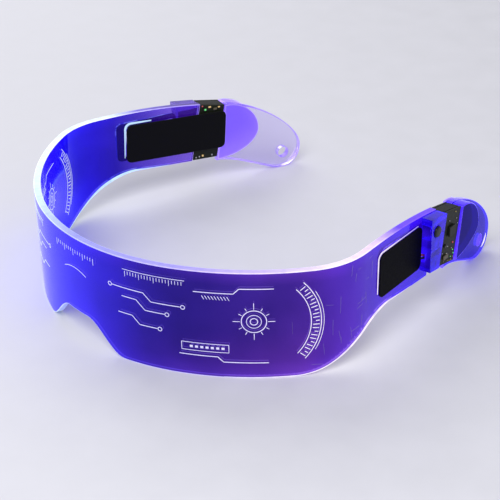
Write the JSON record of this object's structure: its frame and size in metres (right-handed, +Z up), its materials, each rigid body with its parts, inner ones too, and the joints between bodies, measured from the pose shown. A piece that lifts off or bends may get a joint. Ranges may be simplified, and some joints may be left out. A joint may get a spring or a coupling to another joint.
{
  "type": "light up party glasses",
  "caption": "Wraparound clear visor glasses lit from both temples, with a push button, coin cell battery and circuit stack on each temple.",
  "frame": {"origin": "middle of the part's base, at the height of the surface it stands on", "axes": "+Z up, +X the wearer's left, -Y the way the wearer looks"},
  "size_m": [0.162, 0.1632, 0.0427],
  "materials": {
    "clear_acrylic": "polished clear acrylic lit from its ends, blue to violet",
    "frosted_acrylic": "frosted clear acrylic",
    "black_foam": "matt black foam rubber",
    "satin_black_plastic": "matt black",
    "black_plastic": "moulded black",
    "button_black": "smooth black",
    "chip_black": "moulded chip package",
    "black_insulation": "lead insulation",
    "red_insulation": "lead insulation",
    "cell_steel": "nickel-plated steel",
    "tinned_strip": "tinned strip",
    "circuit_board": "dark solder mask",
    "lamp_body": "white lamp body",
    "small_part": "film resistor with tinned ends",
    "small_part_tan": "ceramic capacitor with tinned ends"
  },
  "bodies": {
    "frame": {"left_battery_cover": "satin_black_plastic", "left_battery_tray": "black_plastic", "left_black_lead": "black_insulation", "left_cell_link": "tinned_strip", "left_driver_chip": "chip_black", "left_ear_tip": "clear_acrylic", "left_end_block": "clear_acrylic", "left_end_cover": "frosted_acrylic", "left_front_block": "clear_acrylic", "left_front_cell": "cell_steel", "left_lamp_board": "circuit_board", "left_lamp_capacitor": "small_part_tan", "left_lamp_resistor": "small_part", "left_light_guard": "black_plastic", "left_lower_lamp": "lamp_body", "left_main_board": "circuit_board", "left_main_capacitor": "small_part_tan", "left_main_resistor": "small_part", "left_middle_lamp": "lamp_body", "left_negative_tab": "tinned_strip", "left_positive_tab": "tinned_strip", "left_rear_cell": "cell_steel", "left_red_lead": "red_insulation", "left_switch_board": "circuit_board", "left_switch_body": "black_plastic", "left_temple_pad": "black_foam", "left_tip_lamp": "lamp_body", "left_upper_lamp": "lamp_body", "right_battery_cover": "satin_black_plastic", "right_battery_tray": "black_plastic", "right_black_lead": "black_insulation", "right_cell_link": "tinned_strip", "right_driver_chip": "chip_black", "right_ear_tip": "clear_acrylic", "right_end_block": "clear_acrylic", "right_end_cover": "frosted_acrylic", "right_front_block": "clear_acrylic", "right_front_cell": "cell_steel", "right_lamp_board": "circuit_board", "right_lamp_capacitor": "small_part_tan", "right_lamp_resistor": "small_part", "right_light_guard": "black_plastic", "right_lower_lamp": "lamp_body", "right_main_board": "circuit_board", "right_main_capacitor": "small_part_tan", "right_main_resistor": "small_part", "right_middle_lamp": "lamp_body", "right_negative_tab": "tinned_strip", "right_positive_tab": "tinned_strip", "right_rear_cell": "cell_steel", "right_red_lead": "red_insulation", "right_switch_board": "circuit_board", "right_switch_body": "black_plastic", "right_temple_pad": "black_foam", "right_tip_lamp": "lamp_body", "right_upper_lamp": "lamp_body", "visor_plate": "clear_acrylic"},
    "left_button": {"left_button_cap": "button_black"},
    "right_button": {"right_button_cap": "button_black"}
  },
  "joints": [
    {"name": "left_button_press", "type": "slide", "parent": "frame", "child": "left_button", "axis": [-0.9775, -0.211, 0], "range_m": [0, 0.0004], "stiffness_N_per_m": 1500},
    {"name": "right_button_press", "type": "slide", "parent": "frame", "child": "right_button", "axis": [0.9775, -0.211, 0], "range_m": [0, 0.0004], "stiffness_N_per_m": 1500}
  ]
}
